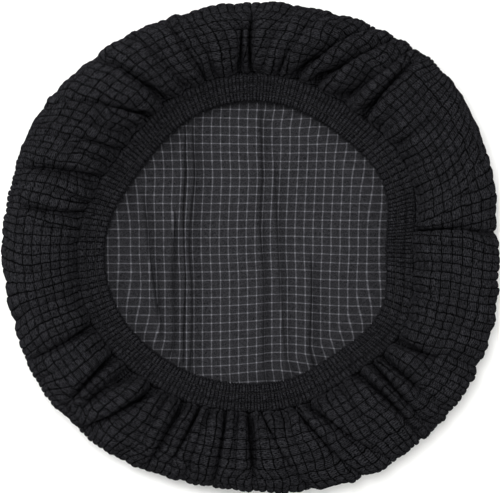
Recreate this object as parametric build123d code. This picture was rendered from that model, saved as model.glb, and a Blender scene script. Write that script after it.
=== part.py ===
from build123d import *

import math
import os

# A round stretch cover for a small wheel. It lies face down: the flat face is on z = 0, and the
# back, with its gathered elastic mouth, is on top. The axis of the wheel is Z. Millimetres.
# It is sewn from two cuts of one cloth: a disc, and a straight strip whose far edge is the hem.

CLOTH_T = 1.8  # puffed stretch jacquard, as thick as it lies

WIDEST_R = 190.0  # the cover's outer radius
TURN_RADIUS = 17.0  # of the cloth's turn round the tread, from the face over to the back
FACE_R = WIDEST_R - TURN_RADIUS
TURN_Z = 2 * TURN_RADIUS  # the top of the turn, where the skirt begins

MOUTH_R = 108.5  # inner radius of the elastic mouth
HEM_W = 22.0  # width of the hem, measured along a radius
HEM_LOW_Z = 7.0
HEM_TOP_Z = 17.0
HEM_CLOTH_T = 2.2  # the hem's cloth, thicker because it is gathered
HEM_FOLD_T = 1.7  # cloth at the hem's two turned edges
SKIRT_GAP = 0.3  # between the skirt's inner edge and the hem, which moves

ELASTIC_W = 18.0
ELASTIC_T = 1.2
ELASTIC_LOW_Z = 10.6
ELASTIC_LAP = 16.0  # length that the elastic's two ends overlap

STITCH_ROWS = 2
STITCHES_PER_ROW = 5
STITCH_LENGTH = 2.4
THREAD_T = 0.4

SEAM_THREAD_R = 0.35
SEAM_INSET = 2.5  # from the hem's outer edge to the row that closes the channel
TOPSTITCH_R = (115.8, 123.1)  # the two rows that hold the elastic flat
EDGE_INSET = 1.2  # from the hem's outer edge to the overlocked raw edge
FACE_SEAM_INSET = 1.0  # from the flat face's edge to the row that joins it to the side strip
THREAD_CLEARANCE = 0.1

HEM_OUT_R = MOUTH_R + HEM_W
SKIRT_IN_R = HEM_OUT_R + SKIRT_GAP
ELASTIC_MIDDLE_R = MOUTH_R + HEM_W / 2
ELASTIC_IN_R = ELASTIC_MIDDLE_R - ELASTIC_W / 2
ELASTIC_TOP_Z = ELASTIC_LOW_Z + ELASTIC_T


def section_at(r, z):
    """A drawing plane that cuts the cover through its axis, centred at a radius and a height."""
    return Plane(origin=(r, 0, z), x_dir=(1, 0, 0), z_dir=(0, -1, 0))


def ring(inner_r, outer_r, low_z, top_z, turn=360):
    """A flat ring of rectangular section, or a part of one."""
    middle = section_at((inner_r + outer_r) / 2, (low_z + top_z) / 2)
    profile = middle * Rectangle(outer_r - inner_r, top_z - low_z)
    return revolve(profile, axis=Axis.Z, revolution_arc=turn)


def turned_wall(outer, inner):
    """A full turn of the wall between two lines that are drawn through the cover's axis."""
    start = Line(inner @ 0, outer @ 0)
    end = Line(outer @ 1, inner @ 1)
    return revolve(make_face([start, outer, end, inner]), axis=Axis.Z, revolution_arc=360)


def turn_arc(radius):
    """Half a circle round the tread, from the face to the back."""
    return section_at(FACE_R, TURN_RADIUS) * CenterArc((0, 0), radius, -90, 180)


def face_panel():
    """The flat disc that covers the wheel's face."""
    return Pos(0, 0, CLOTH_T / 2) * Cylinder(FACE_R, CLOTH_T)


def side_wall():
    """The cloth that turns up from the face, round the tread and in over the back."""
    return turned_wall(turn_arc(TURN_RADIUS), turn_arc(TURN_RADIUS - CLOTH_T))


def back_skirt():
    """The gathered cloth that runs down from the turned edge to the hem."""
    outer = Line((FACE_R, 0, TURN_Z), (SKIRT_IN_R, 0, HEM_TOP_Z))
    inner = Line((FACE_R, 0, TURN_Z - CLOTH_T), (SKIRT_IN_R, 0, HEM_TOP_Z - CLOTH_T))
    return turned_wall(outer, inner)


def hem_casing():
    """The edge of the cloth, turned back on itself as a channel for the elastic."""
    body = ring(MOUTH_R, HEM_OUT_R, HEM_LOW_Z, HEM_TOP_Z)
    channel = ring(
        MOUTH_R + HEM_FOLD_T,
        HEM_OUT_R - HEM_FOLD_T,
        HEM_LOW_Z + HEM_CLOTH_T,
        HEM_TOP_Z - HEM_CLOTH_T,
    )
    return body - channel


def turn_for(length):
    """Degrees that a length takes along the middle of the elastic."""
    return math.degrees(length / ELASTIC_MIDDLE_R)


def join_stitches():
    """Rows of lock stitches through the two lapped ends, each one a closed loop of thread."""
    height = 2 * ELASTIC_T + 2 * THREAD_T
    outer = Box(STITCH_LENGTH, THREAD_T, height)
    inner = Box(STITCH_LENGTH - 2 * THREAD_T, THREAD_T, height - 2 * THREAD_T)
    loop = Pos(0, 0, ELASTIC_TOP_Z) * (outer - inner)
    row_gap = ELASTIC_LAP / STITCH_ROWS
    pitch = ELASTIC_W / STITCHES_PER_ROW
    loops = []
    for row in range(STITCH_ROWS):
        turn = turn_for((row - (STITCH_ROWS - 1) / 2) * row_gap)
        for k in range(STITCHES_PER_ROW):
            r = ELASTIC_MIDDLE_R + (k - (STITCHES_PER_ROW - 1) / 2) * pitch
            loops.append(Rot(0, 0, turn - 90) * Pos(r, 0, 0) * loop)
    return loops


def elastic_band(stitches):
    """The knitted elastic, a loop whose ends are lapped and sewn, with the thread's holes."""
    outer_r = ELASTIC_IN_R + ELASTIC_W
    turn = turn_for(ELASTIC_LAP)
    loop = ring(ELASTIC_IN_R, outer_r, ELASTIC_LOW_Z, ELASTIC_TOP_Z)
    lap = ring(ELASTIC_IN_R, outer_r, ELASTIC_TOP_Z, ELASTIC_TOP_Z + ELASTIC_T, turn)
    return (loop + Rot(0, 0, -90 - turn / 2) * lap) - stitches


def thread_ring(r, z):
    """One row of sewing thread round the cover."""
    return revolve(section_at(r, z) * Circle(SEAM_THREAD_R), axis=Axis.Z, revolution_arc=360)


def row_on_hem(r):
    """One row of sewing on top of the hem."""
    return thread_ring(r, HEM_TOP_Z + SEAM_THREAD_R + THREAD_CLEARANCE)


def face_seam_thread():
    """The row, inside the cover, that joins the flat face to the side strip."""
    return thread_ring(FACE_R - FACE_SEAM_INSET, CLOTH_T + SEAM_THREAD_R + THREAD_CLEARANCE)


def hem_seam_thread():
    """The row that closes the channel, near the hem's outer edge."""
    return row_on_hem(HEM_OUT_R - SEAM_INSET)


def elastic_topstitch_rows():
    """The rows sewn through the stretched elastic, which hold the gathers and keep it flat."""
    return Compound([row_on_hem(r) for r in TOPSTITCH_R])


def hem_overlock_thread():
    """The overlocked raw edge, under the hem, where the cloth was turned in."""
    z = HEM_LOW_Z - SEAM_THREAD_R - THREAD_CLEARANCE
    return thread_ring(HEM_OUT_R - EDGE_INSET, z)


os.makedirs("parts", exist_ok=True)

stitch_loops = join_stitches()
parts = {
    "face_panel": face_panel(),
    "side_wall": side_wall(),
    "back_skirt": back_skirt(),
    "face_seam_thread": face_seam_thread(),
    "hem_casing": hem_casing(),
    "elastic_band": elastic_band(stitch_loops),
    "elastic_join_stitches": Compound(stitch_loops),
    "elastic_topstitch_rows": elastic_topstitch_rows(),
    "hem_seam_thread": hem_seam_thread(),
    "hem_overlock_thread": hem_overlock_thread(),
}
for name, part in parts.items():
    export_step(part, f"parts/{name}.step")
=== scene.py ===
import math

import bmesh
import bpy
import numpy as np
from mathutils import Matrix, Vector


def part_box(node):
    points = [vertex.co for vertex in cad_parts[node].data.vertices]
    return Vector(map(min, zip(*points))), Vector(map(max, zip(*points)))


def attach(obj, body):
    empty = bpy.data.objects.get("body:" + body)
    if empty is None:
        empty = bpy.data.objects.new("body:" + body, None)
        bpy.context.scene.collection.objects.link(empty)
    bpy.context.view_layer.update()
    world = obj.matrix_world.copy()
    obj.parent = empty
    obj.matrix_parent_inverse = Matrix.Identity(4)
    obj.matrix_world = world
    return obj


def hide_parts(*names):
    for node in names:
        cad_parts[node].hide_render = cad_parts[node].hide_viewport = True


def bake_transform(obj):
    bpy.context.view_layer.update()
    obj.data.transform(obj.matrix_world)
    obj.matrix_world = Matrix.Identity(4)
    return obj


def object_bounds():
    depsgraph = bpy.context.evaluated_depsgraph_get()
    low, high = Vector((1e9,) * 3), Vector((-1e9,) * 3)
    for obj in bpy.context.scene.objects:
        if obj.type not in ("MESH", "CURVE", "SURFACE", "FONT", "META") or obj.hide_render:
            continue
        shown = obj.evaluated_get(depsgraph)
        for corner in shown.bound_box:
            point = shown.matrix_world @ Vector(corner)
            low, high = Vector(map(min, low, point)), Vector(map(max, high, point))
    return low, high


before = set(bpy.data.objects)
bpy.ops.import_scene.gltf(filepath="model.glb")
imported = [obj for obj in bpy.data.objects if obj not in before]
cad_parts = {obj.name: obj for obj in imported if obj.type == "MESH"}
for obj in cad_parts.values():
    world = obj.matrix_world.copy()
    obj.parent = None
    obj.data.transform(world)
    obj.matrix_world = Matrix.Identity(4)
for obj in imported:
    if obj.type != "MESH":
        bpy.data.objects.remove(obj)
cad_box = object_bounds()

# ---------------------------------------------------------------- camera, floor and light
# The cover lies face down on a pale floor. The camera is straight above it, far enough away for
# the near and far sides to look the same size, and its picture is a little wider than the cover.
LENS_HEIGHT = 2.2
PICTURE_W = 0.3848
SENSOR_W = 0.036
PICTURE_CENTRE = (0.0004, -0.0004)


def linear(code):
    """An sRGB hex colour as linear red, green, blue and alpha."""
    channels = [int(code[k : k + 2], 16) / 255 for k in (1, 3, 5)]
    return [c / 12.92 if c <= 0.04045 else ((c + 0.055) / 1.055) ** 2.4 for c in channels] + [1.0]


def put(item, name):
    """A new object in the scene for a mesh, lamp or camera."""
    made = bpy.data.objects.new(name, item)
    bpy.context.scene.collection.objects.link(made)
    return made


camera_data = bpy.data.cameras.new("overhead_camera")
camera_data.sensor_width = SENSOR_W * 1000
camera_data.lens = SENSOR_W * 1000 * (LENS_HEIGHT - cad_box[1][2]) / PICTURE_W
camera = put(camera_data, "overhead_camera")
camera.location = (*PICTURE_CENTRE, LENS_HEIGHT)
bpy.context.scene.camera = camera
bpy.context.scene.view_settings.view_transform = "Standard"


def node(tree, kind, settings=(), **inputs):
    """Adds a shader node. Settings are attributes; inputs are sockets, by name or _number."""
    made = tree.nodes.new(kind)
    for key, value in dict(settings).items():
        setattr(made, key, value)
    for key, value in inputs.items():
        name = key.replace("_", " ").strip()
        socket = made.inputs[int(name)] if name.isdigit() else made.inputs[name]
        if isinstance(value, bpy.types.NodeSocket):
            tree.links.new(value, socket)
        else:
            socket.default_value = value
    return made


def new_material(name):
    """An empty node material and its tree."""
    made = bpy.data.materials.new(name)
    made.use_nodes = True
    made.node_tree.nodes.clear()
    return made, made.node_tree


# Painted studio board: matt, near white, so that it bounces light back up the side wall.
board, tree = new_material("matt_painted_board")
surface = node(tree, "ShaderNodeBsdfPrincipled", Base_Color=linear("#f4f4f2"), Roughness=0.9)
node(tree, "ShaderNodeOutputMaterial", Surface=surface.outputs["BSDF"])
FLOOR_SIDE = 6.0
bpy.ops.object.select_all(action="DESELECT")
bpy.ops.mesh.primitive_plane_add(size=FLOOR_SIDE, location=(0, 0, cad_box[0][2] - 0.0004))
floor = bpy.context.object
floor.name = "studio_floor"
floor.data.materials.append(board)

LAMPS = {
    "overhead_softbox": ((-0.25, 0.45, 1.9), 0.8, 22.0),
    "left_softbox": ((-1.3, 0.5, 0.8), 0.6, 14.0),
    "right_softbox": ((1.3, -0.1, 0.9), 0.6, 6.0),
}
for name, (place, side, watts) in LAMPS.items():
    lamp_data = bpy.data.lights.new(name, "AREA")
    lamp_data.energy = watts
    lamp_data.size = side
    lamp = put(lamp_data, name)
    lamp.location = place
    lamp.rotation_euler = Vector(place).to_track_quat("Z", "Y").to_euler()

bpy.context.scene.world = bpy.data.worlds.new("studio_room")
bpy.context.scene.world.use_nodes = True
background = bpy.context.scene.world.node_tree.nodes["Background"]
background.inputs["Color"].default_value = linear("#ffffff")
background.inputs["Strength"].default_value = 0.8

# ---------------------------------------------------------------- side strip: wall and back
# A straight strip of stretch jacquard, knitted in puffed checks, sewn round the flat face. It
# turns up round the tread and comes in over the back in soft folds, which end at the hem. Its
# checks run straight across the strip, so they follow each fold.
CHECK_W = 0.0067  # a check along the strip
CHECK_L = 0.00706  # a check across the strip
CHECKS_ROUND = 232
STRIP_L = CHECKS_ROUND * CHECK_W
PUFF = 0.0015  # how far a check stands out of its grooves
BACKING = 0.0008  # thickness of the cloth under the grooves
FLOAT_H = 0.0002  # how far the floats stand out on the wrong side, along the grooves
LIE_Z = 0.0019  # height of the cloth's middle where it lies on the floor

FACE_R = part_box("face_panel")[1][0]
WIDEST_R = cad_box[1][0]
HEM_OUT_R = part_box("hem_casing")[1][0]
HEM_TOP_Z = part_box("hem_casing")[1][2]

# The cover's section, from the flat face round the tread and over the back to the hem, then on
# round the hem's inner edge to the raw edge under it: radius and height in metres.
SIDE_POINTS = [
    (FACE_R, LIE_Z), (0.1835, 0.0045), (0.1895, 0.0130), (0.1895, 0.0220), (0.1835, 0.0305),
    (0.1725, 0.0348), (0.1600, 0.0356), (0.1480, 0.0340), (0.1385, 0.0285), (0.1340, 0.0165),
]
HEM_POINTS = [
    (0.1290, 0.0165), (0.1240, 0.0160), (0.1170, 0.0155), (0.1115, 0.0145), (0.1085, 0.0115),
    (0.1110, 0.0085), (0.1180, 0.0075), (0.1245, 0.0074), (0.1290, 0.0074),
]

# Valleys between the folds: where each one leaves the hem, passes the middle of the back and
# reaches the rim, in degrees; its depth; how much of the way out it runs; and how far, in its own
# depths, the fold after it leans back over it (-) or on over the next (+).
VALLEYS = [
    (3.6, 3.4, 3.2, 1.0, 1.0, 0.1), (9, 13, 28, 1.0, 1.0, -0.6), (18, 21, 31, 0.3, 0.4, 0.0),
    (27, 27, 34, 0.5, 0.5, 0.0), (34, 35, 38, 0.6, 0.5, 0.0), (40, 40, 42, 0.5, 0.4, 0.3),
    (47, 48.5, 48, 1.0, 0.75, 0.2), (57, 53, 50, 0.8, 0.9, 0.5), (67, 60, 53, 1.0, 0.95, 0.5),
    (73, 67, 58, 1.0, 0.95, 0.5), (78.5, 76, 68, 0.8, 0.9, 0.2), (86, 83, 76, 0.5, 0.8, 0.0),
    (89.5, 90, 88, 1.0, 0.6, 0.0), (93, 92, 92, 1.0, 0.5, 0.0), (101, 103, 106, 0.6, 0.7, 0.0),
    (105, 108, 113, 0.8, 0.8, -0.2), (112, 116, 121, 0.6, 0.8, -0.2), (120.5, 125, 131, 1.0, 0.8, -0.3),
    (130, 138, 149, 1.0, 0.9, -0.6), (137, 143, 153, 0.7, 0.5, 0.0), (143, 148, 156, 0.8, 0.4, 0.0),
    (150, 151, 159, 0.6, 0.5, 0.0), (155, 158, 162, 0.9, 0.7, 0.4), (163, 164, 165, 0.4, 0.8, 0.0),
    (168, 170, 169, 0.8, 0.6, 0.2), (174, 174, 172, 0.4, 0.5, 0.0), (180, 180, 178, 0.3, 0.3, 0.0),
    (187, 187, 187, 0.3, 0.4, 0.0), (194, 196, 198, 0.3, 0.7, 0.0), (200, 201, 202, 0.3, 0.5, 0.0),
    (206.5, 207.5, 207, 0.9, 0.85, 0.2), (213, 213, 213, 0.4, 0.4, 0.0), (218.5, 220, 222, 1.0, 0.7, 0.0),
    (226, 224, 223.5, 0.9, 0.6, 0.3), (236, 231, 226, 1.0, 0.9, 0.3), (241, 240, 237, 0.6, 0.5, 0.0),
    (247, 246, 244, 0.9, 0.7, 0.1), (253.5, 251, 249, 0.9, 0.6, 0.0), (256.5, 255, 253.5, 0.6, 1.0, 0.0),
    (262, 262, 261, 0.9, 0.8, 0.0), (266, 266, 265.5, 0.6, 0.5, 0.0), (269.5, 270.5, 271, 1.0, 0.6, 0.0),
    (275, 280, 286, 1.0, 0.9, -0.4), (281.5, 284, 289, 0.6, 0.4, 0.0), (286, 291, 297, 1.0, 0.85, -0.3),
    (291, 298, 306, 0.9, 1.0, -0.3), (298.5, 301, 307.5, 0.5, 0.3, 0.0), (302.5, 303.5, 309, 0.6, 0.4, 0.0),
    (310.5, 312, 311.5, 1.0, 1.0, 0.0), (316.5, 315.5, 314.5, 0.9, 0.8, 0.0), (320, 320, 320, 0.9, 0.5, 0.0),
    (327.5, 329, 333, 0.9, 0.5, 0.0), (336, 337, 338, 0.4, 0.5, 0.0), (344, 346, 347, 0.4, 0.6, 0.0),
    (352, 352, 352, 0.3, 0.5, 0.5),
]
# How far the rim stands out, every 15 degrees, in millimetres.
RIM_MM = [190, 193.5, 199, 200, 193, 188, 187, 185, 186.5, 188, 191.5, 188.5,
          190, 189.5, 193.5, 192.5, 191, 187, 187.5, 193.5, 199, 200, 199.5, 196]
# How far the mouth's edge stands out, every 15 degrees, in millimetres, and its radius if round.
MOUTH_MM = [105.7, 109.5, 115.5, 109.5, 110.8, 111.2, 111.3, 110, 106.5, 103.4, 102.3, 108,
            111.5, 112.5, 113, 110, 108.2, 107.6, 106, 108, 105.5, 107.5, 113.5, 108.5]
MOUTH_ROUND_MM = 107.7
FOLD_MAX = 0.027  # deepest fold, near the hem
RIM_FOLD_MAX = 0.0045  # deepest fold at the rim
VALLEY_HALF = 0.0042  # half the width of a valley's floor, near the hem
VALLEY_POWER = 3.2  # how much shallower the weak valleys are than the strong ones
SHOULDER = 0.007  # how far a fold takes to rise out of its valley
GATHER_KEEP = 1.16  # length of a ring of folds against the strip's; the cloth is stretched a little
STITCH_DIMPLE = 0.0013  # how deep the rows of stitching sink into the hem
TOPSTITCH_R = (0.1158, 0.1231)
RIPPLE = 0.0019  # height of the small waves on the folds
BUNCHING = 0.0005  # how unevenly the hem gathers, in turns
COLUMNS = 8 * CHECKS_ROUND  # points of the net along the strip
ROW_STEP = 0.0015  # distance between its rows


def ease(x):
    """A smooth step from 0 to 1."""
    x = np.clip(x, 0, 1)
    return x * x * (3 - 2 * x)


def spline_weights(t):
    """The four weights of a cubic B-spline at t, and their slopes."""
    value = [(1 - t) ** 3, 3 * t**3 - 6 * t**2 + 4, -3 * t**3 + 3 * t**2 + 3 * t + 1, t**3]
    slope = [-((1 - t) ** 2), 3 * t**2 - 4 * t, -3 * t**2 + 2 * t + 1, t**2]
    return np.stack(value) / 6, np.stack(slope) / 2


def section_line(points):
    """The section as a smooth line: distance, radius, height and outward normal at each step."""
    before = 2 * np.array(points[0]) - points[1]  # makes the line start at its first point
    pts = np.array([before, *points, points[-1], points[-1]])
    at = np.linspace(0, len(points) - 1, 2000)
    k = np.minimum(at.astype(int), len(points) - 2)
    w, _ = spline_weights(at - k)
    line = sum(w[n][:, None] * pts[k + n] for n in range(4))
    run = np.concatenate([[0], np.cumsum(np.hypot(*np.diff(line, axis=0).T))])
    stops = np.arange(0, run[-1], ROW_STEP)
    r, z = (np.interp(stops, run, line[:, n]) for n in (0, 1))
    slope_r, slope_z = np.gradient(r), np.gradient(z)
    size = np.hypot(slope_r, slope_z)
    return stops, r, z, slope_z / size, -slope_r / size


def ring_steps(ring):
    """The distance from each point of a closed ring to the next."""
    return np.linalg.norm(np.roll(ring, -1, axis=0) - ring, axis=1)


def slow_part(values, most):
    """The part of something round the cover that waves no more than so many times a turn."""
    waves = np.fft.rfft(values)
    waves[most + 1 :] = 0
    return np.fft.irfft(waves, len(values))


def mouth_swell(turn):
    """How far the hem stands out at each turn round the cover, against a true circle."""
    table = slow_part(np.interp(np.arange(360), np.arange(0, 361, 15), MOUTH_MM + MOUTH_MM[:1]), 9)
    return np.interp(np.degrees(turn), np.arange(360), table / MOUTH_ROUND_MM, period=360)


def fold_ring(phi, valleys, height, ripple, section, swell, floor_half):
    """One ring of the strip round the cover, folded to the given height, as points. Deep valleys
    have a flat floor, and shallow ones are hardly more than a crease."""
    place, depth, lean = valleys
    r0, z0, out_r, out_z = section
    past = (phi[None, :] - place[:, None]) % (2 * math.pi)
    below = np.argmin(past, axis=0)
    above = (below + 1) % len(place)
    gap = (place[above] - place[below]) % (2 * math.pi)
    share = past.min(axis=0) / gap
    deep = depth[below] * (1 - share) + depth[above] * share
    away = np.minimum(share, 1 - share) * gap * r0
    deep = deep**VALLEY_POWER
    floor = np.minimum(floor_half * deep, gap * r0 / 6)
    away = np.maximum(away - floor, 0)
    shoulder = np.minimum(gap * r0 / 2 - floor, SHOULDER)
    full = np.sqrt(np.clip(1 - (1 - np.clip(away / shoulder, 0, 1)) ** 2, 0, 1))
    crown = np.sin(np.pi * share) * np.clip(gap * r0 / 0.03, 0, 1)
    off = height * (0.25 - (1 - full) * deep + 0.2 * (crown - 0.5)) + ripple
    shift = lean[below] * full * height
    radius = (r0 + out_r * off) * swell
    angle = phi + shift / radius
    return np.stack([radius * np.cos(angle), radius * np.sin(angle), z0 + out_z * off], -1)


def gathered_strip():
    """The net of the folded strip: rows from the face's seam to the raw edge, columns along it."""
    rng = np.random.default_rng(7)
    run, r0, z0, out_r, out_z = section_line(SIDE_POINTS + HEM_POINTS)
    widest = run[np.argmax(r0[: len(r0) // 2])]
    hem_run = run[np.argmin(abs(r0 - HEM_OUT_R) + (z0 < HEM_TOP_Z - 0.003))]
    phi = np.arange(COLUMNS * 3) * 2 * math.pi / COLUMNS / 3
    even = phi[::3]
    rim = np.interp(np.degrees(phi), np.arange(0, 361, 15), np.array(RIM_MM + RIM_MM[:1]) / 1000)
    rim = slow_part(rim, 15)
    mouth = mouth_swell(phi) - 1
    table = np.array(VALLEYS)
    waves = [(rng.integers(25, 150), rng.uniform(0, 6.28), rng.uniform(-90, 90)) for _ in range(24)]
    rings = []
    for i, l in enumerate(run):
        t = np.clip((hem_run - l) / (hem_run - widest), 0, 1)  # 0 at the hem, 1 at the rim
        place = (
            table[:, 0] * (1 - t) * (1 - 2 * t)
            + table[:, 1] * 4 * t * (1 - t)
            + table[:, 2] * t * (2 * t - 1)
        )
        order = np.argsort(place)
        fade = 1 - 0.85 * ease((t - table[order, 4]) / 0.3)
        valleys = np.radians(place[order]), table[order, 3] * fade, table[order, 5] * fade
        aslant = np.radians((place - table[:, 1])[order]) * ease((l - 0.005) / 0.02)
        tilt = np.interp(phi, valleys[0], aslant, period=2 * math.pi)
        swell = 1 + (rim / WIDEST_R - 1) * math.sin(math.pi * min(1, l / (2 * widest)))
        swell = swell + mouth * ease((l - widest) / (hem_run - widest))
        on_back = 1 - ease((l - hem_run + 0.005) / 0.007)
        live = ease((l - 0.006) / 0.022) * on_back
        ripple = sum(np.sin(n * phi + p + s * l) / n**0.5 for n, p, s in waves)
        ripple *= RIPPLE * ease((l - 0.012) / 0.03) * (0.12 + 0.88 * on_back)
        section = r0[i], z0[i], out_r[i], out_z[i]
        floor_half = VALLEY_HALF * (1 - t) ** 1.5
        low, high = 0.001, RIM_FOLD_MAX + (FOLD_MAX - RIM_FOLD_MAX) * (1 - t) ** 0.7
        for _ in range(8):
            middle = (low + high) / 2
            length = ring_steps(fold_ring(phi, valleys, middle, ripple, section, swell, floor_half)).sum()
            low, high = (middle, high) if length < STRIP_L * GATHER_KEEP else (low, middle)
        ring = fold_ring(phi, valleys, low * live, ripple, section, swell, floor_half)
        steps = ring_steps(ring)
        drift = np.concatenate([[0], np.cumsum(steps)[:-1]]) / steps.sum() * 2 * math.pi - phi
        rings.append((ring, drift, slow_part(tilt, 9)))
    on_skirt = [k for k, l in enumerate(run) if widest < l < hem_run - 0.008]
    crowd = slow_part(np.mean([rings[k][1] for k in on_skirt], axis=0), 9)
    bunching = sum(np.sin(n * phi + p) for n, p, _ in waves) * BUNCHING
    net = np.zeros((len(run), COLUMNS, 3))
    for i, (ring, drift, tilt) in enumerate(rings):
        # More cloth lies on steep ground, and it follows the folds where they run aslant.
        in_hem = bunching * ease((run[i] - hem_run + 0.01) / 0.012)
        cloth = phi + drift - slow_part(drift, 9) + crowd - 0.8 * tilt + in_hem
        cloth = np.maximum.accumulate(cloth)
        for axis in range(3):
            net[i, :, axis] = np.interp(even, cloth, ring[:, axis], period=2 * math.pi)
    for r in TOPSTITCH_R:
        sunk = STITCH_DIMPLE * np.exp(-(((r0 - r) / 0.0011) ** 2)) * (z0 > 0.012)
        net[:, :, 2] -= sunk[:, None]
    return net, run, hem_run


net, net_run, hem_run = gathered_strip()
STRIP_W = net_run[-2]
BACK_W = hem_run

JITTER = 0.00022  # how far a check is out of its place
shuffle = np.random.default_rng(11)
JITTER_WAVES = [
    [
        (shuffle.integers(90, 320), shuffle.uniform(-1500, 1500), shuffle.uniform(0, 6.28))
        for _ in range(8)
    ]
    for _ in "uv"
]


def on_strip(u, v):
    """Where points of the flat strip lie on the cover, with the outward normal there and how
    much the cloth is squeezed along the strip. No check is quite square or in line."""
    inside = np.clip(v / 0.01, 0, 1) * np.clip(np.minimum(abs(v - BACK_W), STRIP_W - v) / 0.004, 0, 1)
    shove_u, shove_v = (
        sum(np.sin(2 * math.pi * m * u / STRIP_L + k * v + p) for m, k, p in table) * JITTER / 2
        for table in JITTER_WAVES
    )
    row = (v + shove_v * inside) / ROW_STEP
    column = ((u + shove_u) / STRIP_L * COLUMNS) % COLUMNS
    last = len(net) - 1
    i = np.clip(np.floor(row).astype(int), 0, last - 1)
    j = np.floor(column).astype(int)
    (wu, su), (wv, sv) = spline_weights(row - i), spline_weights(column - j)
    place, across, along = (np.zeros((len(u), 3)) for _ in range(3))
    for a in range(4):
        rows = np.clip(i + a - 1, 0, last)
        for b in range(4):
            point = net[rows, (j + b - 1) % COLUMNS]
            place += (wu[a] * wv[b])[:, None] * point
            across += (su[a] * wv[b])[:, None] * point
            along += (wu[a] * sv[b])[:, None] * point
    normal = np.cross(along, across)
    normal /= np.linalg.norm(normal, axis=1)[:, None] + 1e-12
    squeeze = np.linalg.norm(along, axis=1) * COLUMNS / STRIP_L
    return place, normal, np.clip(squeeze, 0.3, 1.1)


def lines_over(low, high, pitch, start, within):
    """Mesh lines from low to high: the edges of the checks, and some lines within each one."""
    first, last = math.floor((low - start) / pitch), math.ceil((high - start) / pitch)
    lines = np.array([start + (k + f) * pitch for k in range(first, last + 1) for f in within])
    lines = lines[(lines > low + pitch / 20) & (lines < high - pitch / 20)]
    return np.concatenate([[low], lines, [high]])


def pillow(x, pitch, start=0):
    """0 in the groove at each side of a check and 1 at its middle."""
    return np.sqrt(np.clip(1 - np.abs(2 * (((x - start) / pitch) % 1) - 1) ** 3.5, 0, 1))


def cloth_shell(cells, flat, checks, raised, lie, puff, float_h):
    """Vertices, faces, flat coordinates in checks, and materials of a closed piece of cloth. cells
    are quads of the flat piece, counted the way that shows its wrong side."""
    place, normal, squeeze = lie
    right = place + normal * (puff * (1 + 0.9 * (1 - squeeze)) * raised)[:, None]
    wrong = place - normal * (BACKING + float_h * (1 - raised))[:, None]
    sides = np.stack([cells, np.roll(cells, -1, axis=1)], -1).reshape(-1, 2)
    key = np.sort(sides, axis=1)
    _, first, counts = np.unique(key[:, 0] * len(flat) + key[:, 1], return_index=True, return_counts=True)
    edge = sides[first[counts == 1]]
    n = len(flat)
    wall = np.stack([edge[:, 0], edge[:, 1], edge[:, 1] + n, edge[:, 0] + n], -1)
    faces = np.vstack([cells[:, ::-1], cells + n, wall])
    kind = np.concatenate([np.zeros(len(cells)), np.ones(len(cells) + len(wall))]).astype(np.int32)
    uv = np.tile(flat, (2, 1))[faces.ravel()]
    if checks:  # a strip closed on itself: the last check's far edge is at the full count
        turn = uv.reshape(-1, 4, 2)
        wraps = turn[:, :, 0].max(axis=1) - turn[:, :, 0].min(axis=1) > checks / 2
        turn[wraps, :, 0] += np.where(turn[wraps, :, 0] < checks / 2, checks, 0)
        uv = turn.reshape(-1, 2)
    return np.vstack([right, wrong]), faces, uv, kind


def cloth_object(name, points, faces, uv, kind):
    """An object for a closed piece of cloth, its right and wrong sides in their own materials."""
    mesh = bpy.data.meshes.new(name)
    mesh.vertices.add(len(points))
    mesh.vertices.foreach_set("co", points.ravel())
    mesh.loops.add(faces.size)
    mesh.loops.foreach_set("vertex_index", faces.ravel())
    mesh.polygons.add(len(faces))
    mesh.polygons.foreach_set("loop_start", np.arange(0, faces.size, 4))
    mesh.polygons.foreach_set("loop_total", np.full(len(faces), 4))
    mesh.polygons.foreach_set("use_smooth", np.ones(len(faces), bool))
    mesh.uv_layers.new(name="flat_cloth").data.foreach_set("uv", uv.ravel())
    mesh.materials.append(right_side)
    mesh.materials.append(wrong_side)
    mesh.polygons.foreach_set("material_index", kind)
    mesh.update()
    mesh.validate()
    return put(mesh, name)


# Stretch polyester jacquard, right side: matt black yarn that swells between tight grooves. Fine
# knitted courses run over each check, and the loose fibres make it look slightly grained. The
# grooves are painted near black, as painted shade in the hollows between the checks.
COURSES = 6  # knitted courses over a check; real ones are about twice as fine
right_side, tree = new_material("stretch_jacquard_right_side")
uv = node(tree, "ShaderNodeUVMap", {"uv_map": "flat_cloth"}).outputs["UV"]
in_check = node(tree, "ShaderNodeVectorMath", {"operation": "FRACTION"}, _0=uv)
xyz = node(tree, "ShaderNodeSeparateXYZ", Vector=in_check.outputs["Vector"])
away = []
for k in (0, 1):
    middle = node(tree, "ShaderNodeMath", {"operation": "MULTIPLY_ADD"}, _0=xyz.outputs[k], _1=2.0, _2=-1.0)
    away.append(node(tree, "ShaderNodeMath", {"operation": "ABSOLUTE"}, _0=middle.outputs[0]).outputs[0])
furthest = node(tree, "ShaderNodeMath", {"operation": "MAXIMUM"}, _0=away[0], _1=away[1])
groove = node(
    tree, "ShaderNodeMapRange", {"interpolation_type": "SMOOTHSTEP"},
    Value=furthest.outputs[0], From_Min=0.75, From_Max=1.02,
)
place = node(tree, "ShaderNodeTexCoord").outputs["Object"]
nap = node(tree, "ShaderNodeTexNoise", Vector=place, Scale=650.0, Detail=4.0, Roughness=0.7)
course = node(
    tree, "ShaderNodeTexWave", {"wave_type": "BANDS", "bands_direction": "Y", "wave_profile": "SIN"},
    Vector=uv, Scale=COURSES * 2 * math.pi / 20, Distortion=5.0, Detail=3.0, Detail_Scale=2.5,
)
which_check = node(tree, "ShaderNodeVectorMath", {"operation": "FLOOR"}, _0=uv)
each_check = node(
    tree, "ShaderNodeTexWhiteNoise", {"noise_dimensions": "2D"}, Vector=which_check.outputs["Vector"]
)
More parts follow.
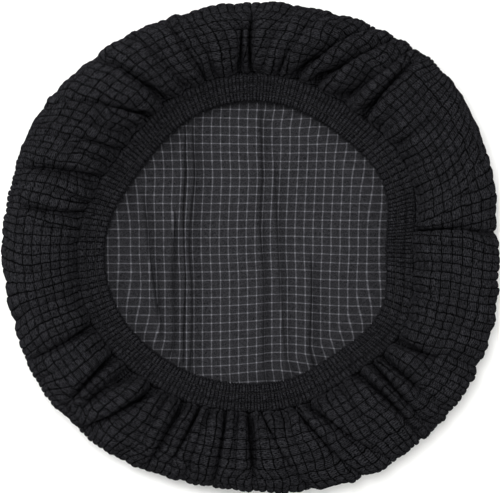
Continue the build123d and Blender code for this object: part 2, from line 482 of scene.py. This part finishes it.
yarns = node(
    tree, "ShaderNodeMath", {"operation": "MULTIPLY_ADD"},
    _0=course.outputs["Fac"], _1=0.25, _2=nap.outputs["Fac"],
)
lit = node(
    tree, "ShaderNodeMapRange", {"interpolation_type": "SMOOTHSTEP"},
    Value=yarns.outputs[0], From_Min=0.40, From_Max=0.88,
)
yarn = node(
    tree, "ShaderNodeMix", {"data_type": "RGBA"}, _0=lit.outputs["Result"],
    _6=linear("#010102"), _7=linear("#303033"),
)
paler = node(tree, "ShaderNodeMapRange", Value=each_check.outputs["Value"], To_Min=0.0, To_Max=0.3)
toned = node(
    tree, "ShaderNodeMix", {"data_type": "RGBA"}, _0=paler.outputs["Result"],
    _6=yarn.outputs[2], _7=linear("#101011"),
)
# Painted shade: the groove mask paints the grooves near black, for the shadow that falls in the hollows
# between the checks.
shade = node(
    tree, "ShaderNodeMix", {"data_type": "RGBA"},
    _0=groove.outputs["Result"], _6=toned.outputs[2], _7=linear("#010101"),
)
height = node(
    tree, "ShaderNodeMath", {"operation": "MULTIPLY_ADD"},
    _0=course.outputs["Fac"], _1=0.6, _2=nap.outputs["Fac"],
)
bump = node(tree, "ShaderNodeBump", Strength=0.7, Distance=0.0006, Height=height.outputs[0])
surface = node(
    tree, "ShaderNodeBsdfPrincipled", Base_Color=shade.outputs[2], Roughness=0.95,
    Specular_IOR_Level=0.0, Normal=bump.outputs["Normal"],
)
node(tree, "ShaderNodeOutputMaterial", Surface=surface.outputs["BSDF"])

# The same cloth, wrong side: flat charcoal ground with the paler elastane and filament floats
# showing as a fine grid along every groove, brighter where two cross.
FLOAT_W = 0.00095  # width of a float
wrong_side, tree = new_material("stretch_jacquard_wrong_side")
uv = node(tree, "ShaderNodeUVMap", {"uv_map": "flat_cloth"}).outputs["UV"]
wobble = node(tree, "ShaderNodeTexNoise", Vector=uv, Scale=2.5, Detail=2.0)
pushed = node(
    tree, "ShaderNodeVectorMath", {"operation": "MULTIPLY_ADD"},
    _0=wobble.outputs["Color"], _1=(0.09, 0.09, 0.0), _2=uv,
)
in_check = node(tree, "ShaderNodeVectorMath", {"operation": "FRACTION"}, _0=pushed.outputs["Vector"])
xyz = node(tree, "ShaderNodeSeparateXYZ", Vector=in_check.outputs["Vector"])
floats = []
for k, pitch in ((0, CHECK_W), (1, CHECK_L)):
    middle = node(tree, "ShaderNodeMath", {"operation": "MULTIPLY_ADD"}, _0=xyz.outputs[k], _1=2.0, _2=-1.0)
    off_middle = node(tree, "ShaderNodeMath", {"operation": "ABSOLUTE"}, _0=middle.outputs[0])
    floats.append(node(
        tree, "ShaderNodeMapRange", {"interpolation_type": "SMOOTHSTEP"}, Value=off_middle.outputs[0],
        From_Min=1 - 1.6 * FLOAT_W / pitch, From_Max=1 - 0.3 * FLOAT_W / pitch,
    ).outputs["Result"])
either = node(tree, "ShaderNodeMath", {"operation": "MAXIMUM"}, _0=floats[0], _1=floats[1])
both = node(tree, "ShaderNodeMath", {"operation": "MULTIPLY"}, _0=floats[0], _1=floats[1])
place = node(tree, "ShaderNodeTexCoord").outputs["Object"]
nap = node(tree, "ShaderNodeTexNoise", Vector=place, Scale=1100.0, Detail=3.0, Roughness=0.8)
grain = node(tree, "ShaderNodeMapRange", Value=nap.outputs["Fac"], From_Min=0.34, From_Max=0.66)
ground = node(
    tree, "ShaderNodeMix", {"data_type": "RGBA"}, _0=grain.outputs["Result"],
    _6=linear("#050506"), _7=linear("#313134"),
)
uneven = node(tree, "ShaderNodeTexNoise", Vector=uv, Scale=1.9, Detail=3.0, Roughness=0.7)
strength = node(
    tree, "ShaderNodeMapRange", Value=uneven.outputs["Fac"],
    From_Min=0.35, From_Max=0.65, To_Min=0.35, To_Max=1.0,
)
shown = node(
    tree, "ShaderNodeMath", {"operation": "MULTIPLY"},
    _0=either.outputs[0], _1=strength.outputs["Result"],
)
lined = node(
    tree, "ShaderNodeMix", {"data_type": "RGBA"}, _0=shown.outputs[0],
    _6=ground.outputs[2], _7=linear("#4c4c50"),
)
crossed = node(
    tree, "ShaderNodeMix", {"data_type": "RGBA"}, _0=both.outputs[0],
    _6=lined.outputs[2], _7=linear("#6e6e73"),
)
height = node(
    tree, "ShaderNodeMath", {"operation": "MULTIPLY_ADD"},
    _0=either.outputs[0], _1=0.8, _2=nap.outputs["Fac"],
)
bump = node(tree, "ShaderNodeBump", Strength=0.5, Distance=0.0005, Height=height.outputs[0])
surface = node(
    tree, "ShaderNodeBsdfPrincipled", Base_Color=crossed.outputs[2], Roughness=0.9,
    Specular_IOR_Level=0.05, Normal=bump.outputs["Normal"],
)
node(tree, "ShaderNodeOutputMaterial", Surface=surface.outputs["BSDF"])

WITHIN = (0, 0.08, 0.3, 0.7, 0.92)  # mesh lines within one check


def strip_part(low, high):
    """The closed shell of the strip between two distances from the face's seam."""
    u = np.array([(k + f) * CHECK_W for k in range(CHECKS_ROUND) for f in WITHIN])
    v = lines_over(low, high, CHECK_L, BACK_W, WITHIN)
    row = np.arange(len(u))
    cells = np.stack([row, row + len(u), np.roll(row, -1) + len(u), np.roll(row, -1)], -1)
    cells = (cells[None] + len(u) * np.arange(len(v) - 1)[:, None, None]).reshape(-1, 4)
    u, v = (a.ravel() for a in np.meshgrid(u, v))
    raised = pillow(u, CHECK_W) * pillow(v, CHECK_L, BACK_W)
    flat = np.stack([u / CHECK_W, (v - BACK_W) / CHECK_L], -1)
    return cloth_shell(cells, flat, CHECKS_ROUND, raised, on_strip(u, v), PUFF, FLOAT_H)


def smooth_normals(points, faces, kind):
    """A normal for each vertex, from the faces of the cloth around it, its cut edges too."""
    a, b, c, d = (points[faces[:, k]] for k in range(4))
    face = np.cross(c - a, d - b)
    face[kind == 2] = 0
    normals = np.zeros_like(points)
    for k in range(4):
        np.add.at(normals, faces[:, k], face)
    return normals / (np.linalg.norm(normals, axis=1)[:, None] + 1e-15)


# The back is cut by upright planes through the axis into parts, which still meet along the cuts.
SECTORS = 16
points, faces, uv, kind = strip_part(0, BACK_W)
normals = smooth_normals(points, faces, kind)
centre = points[faces].mean(axis=1)
turn_of = np.arctan2(centre[:, 1], centre[:, 0])
corners = uv.reshape(-1, 4, 2)  # in checks
for k in range(SECTORS):
    low, high = (2 * math.pi * (k + side) / SECTORS for side in (0, 1))
    from_middle = (turn_of - (low + high) / 2 + math.pi) % (2 * math.pi) - math.pi
    near = abs(from_middle) < (high - low) / 2 + 0.12
    used, close_faces = np.unique(faces[near], return_inverse=True)
    loops = np.repeat(near, 4)
    name = f"strip_back_{k + 1:02d}"
    side_of = np.minimum(kind[near], 1)
    part = cloth_object(name, points[used], close_faces.reshape(-1, 4), uv[loops], side_of)
    mesh = part.data
    kept = mesh.attributes.new("cloth_normal", "FLOAT_VECTOR", "POINT")
    kept.data.foreach_set("vector", normals[used].ravel())
    cut = bmesh.new()
    cut.from_mesh(mesh)
    for turn, side in ((low, 1), (high, -1)):
        inward = Vector((-math.sin(turn), math.cos(turn), 0)) * side
        everything = cut.verts[:] + cut.edges[:] + cut.faces[:]
        bmesh.ops.bisect_plane(
            cut, geom=everything, dist=1e-7, plane_co=(0, 0, 0), plane_no=inward, clear_inner=True
        )
    open_edges = [e for e in cut.edges if e.is_boundary]
    for face in bmesh.ops.holes_fill(cut, edges=open_edges, sides=0)["faces"]:
        face.material_index = 1
    cut.to_mesh(mesh)
    cut.free()
    stored = np.zeros(len(mesh.vertices) * 3)
    mesh.attributes["cloth_normal"].data.foreach_get("vector", stored)
    mesh.attributes.remove(mesh.attributes["cloth_normal"])
    mesh.normals_split_custom_set_from_vertices(stored.reshape(-1, 3))
    middle = Vector((math.cos((low + high) / 2), math.sin((low + high) / 2), 0))
    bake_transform(part)
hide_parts("side_wall", "back_skirt")

# Two rows of stitching through the elastic hold them and show as dimples.
points, faces, uv, kind = strip_part(BACK_W, STRIP_W)
hem = cloth_object("hem_cloth", points, faces, uv, np.minimum(kind, 1))
hem.data.normals_split_custom_set_from_vertices(smooth_normals(points, faces, kind))
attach(hem, "hem")
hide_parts("hem_casing")

# ---------------------------------------------------------------- face panel
# The flat disc over the wheel's face, lying right side down, so its wrong side shows through the
# mouth. It is slack along one grain, and stands in a few soft tucks.
FACE_CHECK_W = 0.00706
FACE_CHECK_L = 0.00670
FACE_WITHIN = (0, 0.1, 0.5, 0.9)
# Each tuck: where it crosses the middle, its drift in x per metre of y, its height and the width
# of its gentle side, the lowest and highest y that it reaches, and how far it leans over, in its
# heights. The mouth hides the ends of those that reach furthest.
TUCKS = [
    (-0.0550, 0.00, 0.0056, 0.0090, -0.20, 0.20, 0.1),
    (-0.0475, 0.01, 0.0072, 0.0060, -0.20, 0.20, 0.1),
    (0.0100, -0.02, 0.0056, 0.0120, -0.20, 0.20, 0.1),
    (0.0250, -0.06, 0.0054, 0.0100, -0.20, 0.05, 0.1),
    (-0.0650, 0.03, 0.0076, 0.0080, -0.20, 0.01, 0.1),
    (-0.0860, -0.11, 0.0070, 0.0080, -0.20, 0.03, 0.1),
    (0.0520, 0.00, 0.0070, 0.0100, -0.20, -0.030, 0.1),
]
STEEP_W = 0.0017  # width of a tuck's steep side, which is the +x side
TUCK_STEP = 0.0006  # distance between mesh lines along the tucks
TUCK_PULL = 0.0011  # how far a tuck draws in the cloth on each side


def laid_flat(x, y):
    """Where points of the flat disc lie on the floor, with their outward normal, which is down."""
    z, slope, moved, spread = np.full(len(x), LIE_Z), np.zeros(len(x)), x.copy(), np.ones(len(x))
    away = np.hypot(x, y)
    inside = 1 - ease((away - 0.125) / 0.035)  # the side wall's seam holds the cloth flat
    inside *= 1 - 0.6 * ease((away - 0.098) / 0.014)  # the hem presses on the tucks
    for middle, drift, tall, half, low, high, lean in TUCKS:
        off = x - middle - drift * y - 0.0008 * np.sin(y * 55 + middle * 300)
        reach = ease((y - low) / 0.03) * (1 - ease((y - high) / 0.03)) * inside
        wide = np.where(off < 0, half, STEEP_W)
        hump = tall * reach * np.exp(-((off / wide) ** 2))
        z += hump
        steep = -2 * off / wide**2 * hump
        slope += steep
        moved += lean * hump - TUCK_PULL * np.tanh(off / 0.006) * reach
        spread += lean * steep
    # The rest of the cloth lies in slight waves, and its rows bow where it is slack.
    z += 0.0006 * (1 + np.sin(x * 61 + y * 17) * np.cos(y * 43 - x * 29)) * inside
    normal = np.stack([slope, np.zeros(len(x)), -spread], -1)
    normal /= np.linalg.norm(normal, axis=1)[:, None]
    rows = 0.0045 * np.exp(-(((x - 0.03) / 0.036) ** 2)) * (0.35 - y / 0.13) * inside
    return np.stack([moved, y + rows, z], -1), normal, np.ones(len(x))


x, y = (lines_over(-FACE_R, FACE_R, pitch, 0, FACE_WITHIN) for pitch in (FACE_CHECK_W, FACE_CHECK_L))
# More mesh lines stand close together over the tucks' steep sides.
by_tucks = [t[0] + TUCK_STEP * k for t in TUCKS for k in range(-1, 10)]
x = np.unique(np.round(np.concatenate([x, by_tucks]), 5))
x, y = np.meshgrid(x, y)
corner = np.arange(x.size).reshape(x.shape)
cells = np.stack([corner[:-1, :-1], corner[:-1, 1:], corner[1:, 1:], corner[1:, :-1]], -1).reshape(-1, 4)
x, y = x.ravel(), y.ravel()
# The disc's cells are those that reach inside the seam, and their outer corners lie on it.
cells = cells[np.hypot(x[cells], y[cells]).min(axis=1) < FACE_R * 0.998]
used, cells = np.unique(cells, return_inverse=True)
x, y = x[used], y[used]
pull = np.minimum(1, FACE_R / np.maximum(np.hypot(x, y), 1e-9))
x, y = x * pull, y * pull
raised = pillow(x, FACE_CHECK_W) * pillow(y, FACE_CHECK_L)
flat = np.stack([x / FACE_CHECK_W, y / FACE_CHECK_L], -1)
points, faces, uv, kind = cloth_shell(
    cells.reshape(-1, 4), flat, 0, raised, laid_flat(x, y), PUFF, FLOAT_H
)
face = cloth_object("face_cloth", points, faces, uv, kind)
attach(face, "cover")
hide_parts("face_panel")

# ---------------------------------------------------------------- elastic band
# Flat knitted polyester elastic inside the hem, black, with fine ribs along it. It follows the
# hem's uneven ring, and its two ends are lapped and sewn. The cloth hides it all.
elastic, tree = new_material("knitted_polyester_elastic")
place = node(tree, "ShaderNodeTexCoord").outputs["Object"]
ribs = node(
    tree, "ShaderNodeTexWave", {"wave_type": "RINGS", "rings_direction": "Z"}, Vector=place, Scale=300.0
)
colour = node(
    tree, "ShaderNodeMix", {"data_type": "RGBA"}, _0=ribs.outputs["Fac"],
    _6=linear("#0d0d0d"), _7=linear("#222222"),
)
surface = node(tree, "ShaderNodeBsdfPrincipled", Base_Color=colour.outputs[2], Roughness=0.8)
node(tree, "ShaderNodeOutputMaterial", Surface=surface.outputs["BSDF"])
ELASTIC_W = 0.018
ELASTIC_T = 0.0012
LAP = 0.016  # length of the lapped ends
STEPS = 720  # points round the band
elastic_low, elastic_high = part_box("elastic_band")
join_low, join_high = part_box("elastic_join_stitches")
join_turn = math.atan2(join_low[1] + join_high[1], join_low[0] + join_high[0])
turn = np.arange(STEPS) * 2 * math.pi / STEPS
out_r = elastic_high[0] * mouth_swell(turn)
from_join = abs((turn - join_turn + math.pi) % (2 * math.pi) - math.pi) * elastic_high[0]
top_z = elastic_low[2] + ELASTIC_T * np.where(from_join < LAP / 2, 2, 1)
low_z = np.full(STEPS, elastic_low[2])
section = [(out_r - ELASTIC_W, low_z), (out_r, low_z), (out_r, top_z), (out_r - ELASTIC_W, top_z)]
corners = [np.stack([r * np.cos(turn), r * np.sin(turn), z], -1) for r, z in section]
points = np.stack(corners, 1).reshape(-1, 3)
k, side = (a.ravel() for a in np.meshgrid(np.arange(STEPS), np.arange(4), indexing="ij"))
k2, side2 = (k + 1) % STEPS, (side + 1) % 4
faces = np.stack([k * 4 + side, k2 * 4 + side, k2 * 4 + side2, k * 4 + side2], -1)
mesh = bpy.data.meshes.new("elastic_loop")
mesh.from_pydata(points.tolist(), [], faces.tolist())
mesh.materials.append(elastic)
band = put(mesh, "elastic_loop")
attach(band, "hem")
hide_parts("elastic_band")

# ---------------------------------------------------------------- sewing threads
# Black spun polyester thread, two plies twisted together, so it has a faint rope-like ridge. The
# rows of lockstitch lie on the cloth and dip where the needle went in.
THREAD_R = 0.00018
TWIST = 0.0009  # length of one turn of the plies
thread, tree = new_material("spun_polyester_thread")
along = node(tree, "ShaderNodeUVMap", {"uv_map": "along_thread"}).outputs["UV"]
plies = node(
    tree, "ShaderNodeTexWave", {"wave_type": "BANDS", "bands_direction": "DIAGONAL"},
    Vector=along, Scale=0.63,
)
colour = node(
    tree, "ShaderNodeMix", {"data_type": "RGBA"}, _0=plies.outputs["Fac"],
    _6=linear("#070708"), _7=linear("#1c1c1e"),
)
surface = node(tree, "ShaderNodeBsdfPrincipled", Base_Color=colour.outputs[2], Roughness=0.7)
node(tree, "ShaderNodeOutputMaterial", Surface=surface.outputs["BSDF"])


def thread_rows(name, paths, body, cad_node):
    """Closed runs of thread along paths of points, as one piece that rides on a body."""
    sides = 6
    points, faces, uv = [], [], []
    for path in paths:
        start, n = sum(len(p) for p in points), len(path)
        ahead = np.roll(path, -1, axis=0) - np.roll(path, 1, axis=0)
        ahead /= np.linalg.norm(ahead, axis=1)[:, None]
        level = np.cross(ahead, (0, 0, 1.0))
        level /= np.linalg.norm(level, axis=1)[:, None]
        upright = np.cross(level, ahead)
        run = np.concatenate([[0], np.cumsum(ring_steps(path))])
        turns = np.arange(sides) * 2 * math.pi / sides
        around = np.cos(turns)[None, :, None] * level[:, None]
        around = around + np.sin(turns)[None, :, None] * upright[:, None]
        points.append((path[:, None] + THREAD_R * around).reshape(-1, 3))
        k, side = (a.ravel() for a in np.meshgrid(np.arange(n), np.arange(sides), indexing="ij"))
        k2, side2 = (k + 1) % n, (side + 1) % sides
        at, at2 = k * sides, k2 * sides
        faces.append(start + np.stack([at + side, at + side2, at2 + side2, at2 + side], -1))
        u = np.stack([run[k], run[k], run[k + 1], run[k + 1]], -1) / TWIST
        v = np.stack([side, side + 1, side + 1, side], -1) / sides
        uv.append(np.stack([u, v], -1).reshape(-1, 2))
    faces = np.vstack(faces)
    mesh = bpy.data.meshes.new(name)
    mesh.from_pydata(np.vstack(points).tolist(), [], faces.tolist())
    mesh.uv_layers.new(name="along_thread").data.foreach_set("uv", np.vstack(uv).ravel())
    mesh.polygons.foreach_set("use_smooth", np.ones(len(faces), bool))
    mesh.materials.append(thread)
    mesh.update()
    made = put(mesh, name)
    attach(made, body)
    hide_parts(cad_node)
    return made


def stitched_ring(radius, z, pitch, dip, sway=0.0, on_hem=True):
    """The path of a row of stitches round the cover: up over the cloth and down at each hole. A
    row on the hem follows the hem's uneven ring."""
    count = round(2 * math.pi * radius / pitch)
    turn = np.arange(count * 8) * 2 * math.pi / (count * 8)
    rise = np.abs(np.sin(turn * count / 2)) ** 0.5
    r = radius + sway * np.sin(turn * count)
    r = r * mouth_swell(turn) if on_hem else r
    return np.stack([r * np.cos(turn), r * np.sin(turn), z - dip + dip * rise], -1)


def hem_top(radius):
    """Height of the top of the hem's cloth, at the crests of its checks."""
    rows = [k for k, l in enumerate(net_run) if l > BACK_W - 0.004]
    swell = mouth_swell(np.radians(np.arange(360))).mean()
    row = min(
        rows, key=lambda k: abs(np.hypot(*net[k, :, :2].T).mean() - radius * swell) + (net[k, 0, 2] < 0.011)
    )
    return net[row, :, 2].mean() + PUFF


STITCH = 0.003  # length of a stitch
DIP = 0.0012  # how far the thread goes down at each hole in the hem
SUNK = 0.0006  # how far a row of stitches sinks into the hem's cloth
SEAM_R = HEM_OUT_R - 0.0025
top_rows = [stitched_ring(r, hem_top(r) - SUNK, STITCH, DIP) for r in TOPSTITCH_R]
thread_rows("elastic_topstitch", top_rows, "hem", "elastic_topstitch_rows")
seam_row = [stitched_ring(SEAM_R, hem_top(SEAM_R) - SUNK, STITCH, DIP)]
thread_rows("hem_seam", seam_row, "hem", "hem_seam_thread")
under_row = [stitched_ring(HEM_OUT_R - 0.0016, 0.0066, STITCH, 0.0004, 0.0012)]
thread_rows("hem_overlock", under_row, "hem", "hem_overlock_thread")
face_row = [stitched_ring(FACE_R - 0.001, LIE_Z + 0.0012, STITCH, 0.0006, 0.0008, False)]
thread_rows("face_seam", face_row, "cover", "face_seam_thread")
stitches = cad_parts["elastic_join_stitches"]
stitches.data.materials.clear()
stitches.data.materials.append(thread)
